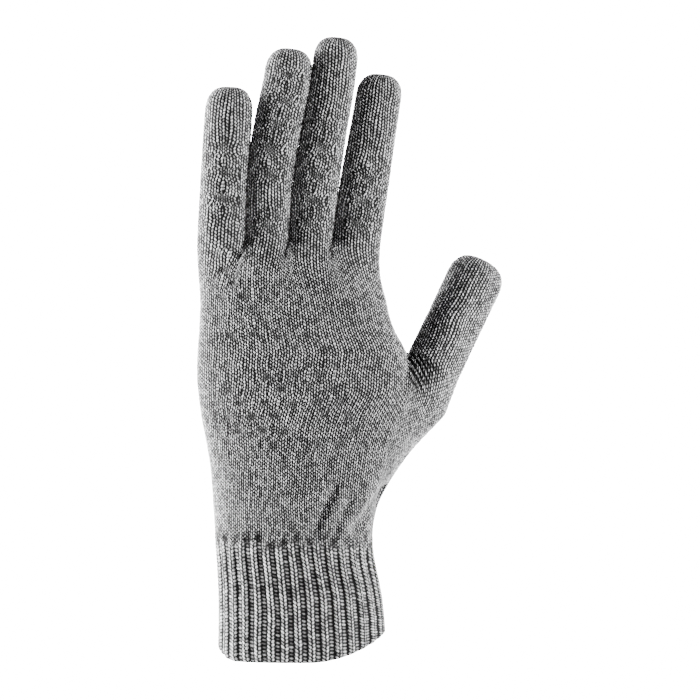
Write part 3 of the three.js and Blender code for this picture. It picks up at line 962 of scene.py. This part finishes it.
makeHand(lowerPieces, creased, lowerCourses, 1, 0, 2)
makeHand(upperPieces, upperGrid, upperCourses, 2, lowerCourses, 0)


# Each finger is cut halfway between its bends, so that each part holds one of them.
def makeFinger(name, finger, shares, parts, vFirst):
    courseLength = finger["run"] / finger["courses"]
    hingeCourses = [share * finger["length"] / courseLength for share in shares]
    cuts = [0] + [int(round((a + b) / 2)) for a, b in zip(hingeCourses, hingeCourses[1:])]
    cuts.append(finger["courses"])
    grid = fingerGrid(finger, name)
    spots = None
    if name != "thumb":
        spots = fingerDimples(name, finger["wales"], vFirst, vFirst + finger["courses"])
    for part, (partName, *nodes) in enumerate(parts):
        low, high = cuts[part], cuts[part + 1]
        last = part == len(parts) - 1
        rows = grid[low:] if last else layer(grid, low, high, 1)
        piece = knittedTube("%s_%s_knit" % (name, partName), rows, (1, 0 if last else 1),
                            vFirst + low, tip=last, dimple=spots)
        dress(piece, plainYarn, "plain_knit", *["%s_%s" % (name, node) for node in nodes])
        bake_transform(piece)


fingerParts = [("base", "base_fold", "lower_tube"), ("knuckle", "knuckle_fold", "middle_tube"),
               ("end", "end_fold", "tip")]
thumbParts = [("base", "base_fold", "lower_tube"), ("end", "knuckle_fold", "tip")]
for name in fingerOrder:
    makeFinger(name, fingers[name], list(hingeShares.values()),
               fingerParts, lowerCourses + upperCourses)
makeFinger("thumb", thumb, list(thumbShape["shares"].values()),
           thumbParts, lowerCourses)


# The hem's lift: as the square of the way to the thumb side, and to the corner on the other
# side, fading with the height.
def hemLift(x, z):
    share = np.clip((x - cuff["hemFrom"]) / (cuff["hemTo"] - cuff["hemFrom"]), 0, None)
    corner = np.clip((cuff["cornerFrom"] - x) / cuff["cornerRun"], 0, 1)
    rise = cuff["hemRise"] * share**2 + cuff["corner"] * corner**2
    return rise * np.clip(1 - z / cuff["hemSpread"], 0, None)


ribTopEdge = {
    "reach": 2 * mm, "uneven": 4 * mm,         # how far under its top each ridge starts to sink
    "plainAt": 1.5 * mm, "plainOver": 3 * mm,  # where its stitches turn plain
    "sink": 0.35,                              # share of its height that a full ridge sinks by
}


# The cuff: the hand's rings raised along their normals by the ribs and the stitches on them,
# rolled in at the hem, and cut into the hem and the rib.
def makeCuff():
    columns = cuff["ribs"] * cuff["columnsPerRib"]
    top = hand["ribTop"] + cuff["overlap"]
    courses = int(round(top / cuff["course"]))
    rowsPer = knit["rowsPerCourse"]
    rows = courses * rowsPer + 1
    z = top * np.arange(rows) / (rows - 1)
    knots = 4                                  # to each rib
    base = throughKnots(handRings(z[::rowsPer], cuff["ribs"] * knots), rowsPer)
    base = throughKnots(np.moveaxis(base, 1, 0), cuff["columnsPerRib"] // knots, True)
    base = np.moveaxis(base, 0, 1)
    base[..., 2] += hemLift(base[..., 0], base[..., 2])
    normal = gridNormals(base)
    u = np.arange(columns)[None, :] / cuff["columnsPerRib"] + np.zeros((rows, 1))
    v = np.arange(rows)[:, None] / rowsPer + np.zeros((1, columns))
    ridge, stitch = ribHeight(u + cuff["stray"] * slowWaves(u, v, cuff["ribs"], 1.0), v)
    reach = top - ribTopEdge["reach"] + ribTopEdge["uneven"] * (cellNoise(u, 0 * u, 11) - 0.5)
    level = cuff["topShare"] + (1 - cuff["topShare"]) * smooth((reach - z[:, None]) / cuff["fade"])
    # near its top the rib's stitches turn into those of the plain knit above
    wale = np.interp(u / cuff["ribs"], np.append(wristShares, 1), np.arange(len(wristShares) + 1))
    plain = stitchHeight(wale, (z[:, None] - hand["ribTop"]) / knit["course"] + 0 * u)
    ribbed = smooth((reach + ribTopEdge["plainAt"] - z[:, None]) / ribTopEdge["plainOver"])
    stitch = stitch * ribbed + plain * (1 - ribbed)
    roll = smooth(z / cuff["roll"])[:, None]
    uneven = 1 + cuff["unevenRidges"] * slowWaves(u, v, cuff["ribs"], 4.0)
    proud = (ridge - cuff["ridgeFoot"] - ribTopEdge["sink"] * level) * level
    lift = cuff["height"] * proud * uneven * (0.5 + 0.5 * roll)
    onRidge = cuff["sunkRelief"] + (1 - cuff["sunkRelief"]) * np.sqrt(ridge)
    lift = lift + cuff["relief"] * stitch * onRidge - cuff["rollIn"] * (1 - roll)
    outside = base + normal * lift[..., None]
    least, more = cuff["mottle"]
    mottle = least + more * cellNoise(3 * u, v, 3)
    # painted shade: the stitches' low values darken the gaps, and sunkShade darkens the sunk wales
    tone = stitch * mottle * (1 - cuff["sunkShade"] * (1 - np.sqrt(ridge)))
    inside = base - normal * (cuff["wall"] + cuff["insideWave"] * np.cos(2 * np.pi * u))[..., None]
    cut = cuff["hemCourses"] * rowsPer
    rib = shell("cuff_rib_knit", outside[cut:], inside[cut::rowsPer], tone[cut:],
                vFirst=cuff["hemCourses"], scale=cuff["mapScale"])
    hem = shell("cuff_hem_knit", outside[:cut + 1], inside[:cut + 1:rowsPer // 2], tone[:cut + 1],
                scale=cuff["mapScale"], softFoot=True)
    dress(rib, ribYarn, "rib_knit", "cuff_rib")
    dress(hem, ribYarn, "rib_knit", "cuff_hem")
    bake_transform(rib)
    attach(hem, "cuff")
    print("cuff ribbed:", cuff["ribs"], "ribs")


makeCuff()

thread = {"radius": 0.5 * mm, "sides": 8, "steps": 420, "twist": 0.12 * mm, "turns": 90}
crotchYarn = {
    "radius": 0.55 * mm, "sides": 10, "steps": 24, "length": 4.2 * mm, "gap": 1.5 * mm,
    "slope": (0.75, 0.66),     # sideways and up, of each slanted stitch
    "stitches": 3, "topRow": 5,   # the first lies this many courses below the grid's end
    "tip": 0.02,               # square of what is left of the radius at an end
}
anyWay = [0.13, 0.2, 0.97]     # a direction that no yarn here runs in


# A tube along a closed or open line of points: rings of the given radius at right angles to it.
def yarnTube(line, radius, sides, closed):
    way = np.roll(line, -1, 0) - np.roll(line, 1, 0) if closed else np.gradient(line, axis=0)
    way /= np.linalg.norm(way, axis=1, keepdims=True)
    aside = np.cross(way, anyWay)
    aside /= np.linalg.norm(aside, axis=1, keepdims=True)
    above = np.cross(way, aside)
    turn = 2 * np.pi * np.arange(sides) / sides
    ring = aside[:, None] * np.cos(turn)[None, :, None] + above[:, None] * np.sin(turn)[None, :, None]
    return line[:, None] + ring * radius.reshape(len(line), -1, 1)


# One mesh from several tubes; each is closed round, or has a point at both ends.
def tubeObject(name, tubes, closed, material, slotName, *nodes):
    points, quads, fans, first = [], [], [], 0
    for tube in tubes:
        rows, sides = tube.shape[:2]
        points.append(tube.reshape(-1, 3))
        quads.append(ringQuads(first, rows, sides))
        ring = np.arange(sides)
        nextRing = (ring + 1) % sides
        top = first + (rows - 1) * sides
        if closed:
            quads.append(np.stack([top + ring, top + nextRing, first + nextRing, first + ring], 1))
        else:
            points.append(np.stack([tube[0].mean(0), tube[-1].mean(0)]))
            low = first + rows * sides
            fans.append(np.stack([first + nextRing, first + ring, np.full(sides, low)], 1))
            fans.append(np.stack([top + ring, top + nextRing, np.full(sides, low + 1)], 1))
        first += rows * sides + (0 if closed else 2)
    faces = np.concatenate(quads).tolist() + (np.concatenate(fans).tolist() if fans else [])
    mesh = bpy.data.meshes.new(name)
    mesh.from_pydata(np.concatenate(points).tolist(), [], faces)
    mesh.polygons.foreach_set("use_smooth", np.ones(len(faces), bool))
    mesh.uv_layers.new(name="stitches")
    setTone(mesh, np.full(first, 0.55))   # a middle tone all over
    piece = addObject(name, mesh)
    dress(piece, material, slotName, *nodes)
    return piece


# Each elastic thread lies round the inside of the cuff, two strands twisted together: the
# radius is least where twice the turn round the thread meets the coil's own turn.
def makeThreads():
    for number in (1, 2, 3, 4):
        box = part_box("cuff_elastic_%d" % number)
        height = (box[0].z + box[1].z) / 2
        ring = handRings(np.array([height]), thread["steps"])[0]
        ring[:, 2] = height
        middle = ring.mean(0)
        outward = ring - middle
        outward /= np.linalg.norm(outward, axis=1, keepdims=True)
        halfWidth = (box[1].x - box[0].x) / 2
        inset = (ring[:, 0].max() - ring[:, 0].min()) / 2 - halfWidth + thread["radius"]
        line = ring - outward * inset
        turn = 2 * np.pi * np.arange(thread["sides"])[None, :] / thread["sides"]
        coil = 2 * np.pi * thread["turns"] * np.arange(thread["steps"])[:, None] / thread["steps"]
        radius = thread["radius"] - thread["twist"] * (0.5 + 0.5 * np.cos(2 * turn - coil))
        tube = yarnTube(line, radius, thread["sides"], True)
        piece = tubeObject("elastic_thread_%d" % number, [tube], True, threadRubber, "elastic_thread",
                           "cuff_elastic_%d" % number)
        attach(piece, "cuff")


# Slanted stitches that close each crotch, on the back and on the palm: short lines that bow
# outwards as a parabola, whose tubes narrow as an oval.
def makeCrotchStitches():
    wales = 0
    for left, right in zip(fingerOrder, fingerOrder[1:]):
        wales += fingers[left]["wales"] // 2
        tubes = []
        for column in (wales, hand["wales"] - wales):
            side = -1 if column == wales else 1
            for step in range(crotchYarn["stitches"]):
                place = upperGrid[-crotchYarn["topRow"] - step, column]
                t = np.linspace(-0.5, 0.5, crotchYarn["steps"])[:, None]
                bow = (0.25 - t * t) * crotchYarn["gap"]
                sideways, up = crotchYarn["slope"]
                line = place + t * crotchYarn["length"] * np.array([sideways, 0, -up * side])
                line = line + bow * np.array([0, side, 0])
                tip = crotchYarn["tip"]
                radius = crotchYarn["radius"] * np.sqrt(1 + tip - (2 * t[:, 0]) ** 2 * (1 - tip))
                tubes.append(yarnTube(line, radius, crotchYarn["sides"], False))
        piece = tubeObject("crotch_stitches_%s_%s" % (right, left), tubes, False, plainYarn, "tie_yarn",
                           "crotch_tie_%s_%s" % (right, left))
        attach(piece, "hand")


# One colour and one roughness all over.
def plainMaterial(name, colour, roughness):
    material = bpy.data.materials.new(name)
    material.use_nodes = True
    shader = material.node_tree.nodes["Principled BSDF"]
    shader.inputs["Base Color"].default_value = (*colour, 1)
    shader.inputs["Roughness"].default_value = roughness
    return material


threadRubber = plainMaterial("coveredElastic", (0.58, 0.57, 0.54), 0.6)
makeThreads()
makeCrotchStitches()
print("threads and crotch stitches made")


studio = {
    "distance": 1.1, "frameWidth": 0.2743, "sensor": 36, "middle": (18.9 * mm, 120.4 * mm),
    "floor": -0.30, "floorHalf": 2, "floorTone": 0.82, "paperTone": 0.9, "paperRoughness": 0.9,
    "paper": 22.0, "wall": 0.5, "wallBehind": 1.4, "world": 0.02,
    "softboxes": {             # x, y and height over the middle, size, power
        "leftSoftbox": ((-0.80, 0.0, 0.05), (0.3, 0.9), 54.0),
        "rightSoftbox": ((0.76, -0.30, 0.16), (0.3, 0.7), 21.0),
        "frontSoftbox": ((0.05, -1.3, 0.5), (0.9, 0.9), 0.5),
    },
}


# A rectangular lamp at a place, turned to face its target.
def areaLight(name, place, target, size, energy):
    data = bpy.data.lights.new(name, "AREA")
    data.shape = "RECTANGLE"
    data.size, data.size_y = size
    data.energy = energy
    lamp = addObject(name, data)
    lamp.location = place
    lamp.rotation_euler = Vector(np.array(target) - place).to_track_quat("-Z", "Y").to_euler()


# A flat sheet from one corner and its two sides.
def plane(name, corner, along, up):
    corner, along, up = np.array(corner), np.array(along), np.array(up)
    mesh = bpy.data.meshes.new(name)
    points = [corner, corner + along, corner + along + up, corner + up]
    mesh.from_pydata([tuple(point) for point in points], [], [(0, 1, 2, 3)])
    return addObject(name, mesh)


# The camera straight in front of the back of the hand, far enough for its lens to take in the
# frame's width, with a pale floor, a lit wall behind the glove and the lamps.
def makeStudio():
    centre = np.array([studio["middle"][0], 0, studio["middle"][1]])
    cameraData = bpy.data.cameras.new("camera")
    cameraData.sensor_width = studio["sensor"]
    cameraData.lens = studio["sensor"] * studio["distance"] / studio["frameWidth"]
    camera = addObject("camera", cameraData)
    camera.location = (centre[0], -studio["distance"], centre[2])
    camera.rotation_euler = (math.pi / 2, 0, 0)
    bpy.context.scene.camera = camera
    side = studio["floorHalf"]
    floor = plane("floor", (-side, -side, studio["floor"]), (2 * side, 0, 0), (0, 2 * side, 0))
    floor.data.materials.append(
        plainMaterial("palePaper", [studio["floorTone"]] * 3, studio["paperRoughness"]))
    half = studio["wall"]
    wall = plane("litWall", (centre[0] - half, studio["wallBehind"], centre[2] - half),
                 (2 * half, 0, 0), (0, 0, 2 * half))
    paper = plainMaterial("litPaper", [studio["paperTone"]] * 3, studio["paperRoughness"])
    shader = paper.node_tree.nodes["Principled BSDF"]
    shader.inputs["Emission Color"].default_value = (1, 1, 1, 1)
    shader.inputs["Emission Strength"].default_value = studio["paper"]
    wall.data.materials.append(paper)
    for name, ((x, y, up), size, power) in studio["softboxes"].items():
        areaLight(name, (x, y, centre[2] + up), centre, size, power)
    world = bpy.data.worlds.new("studioAir")
    world.use_nodes = True
    air = world.node_tree.nodes["Background"]
    air.inputs["Color"].default_value = (1, 1, 1, 1)
    air.inputs["Strength"].default_value = studio["world"]
    bpy.context.scene.world = world
    print("studio ready")


makeStudio()
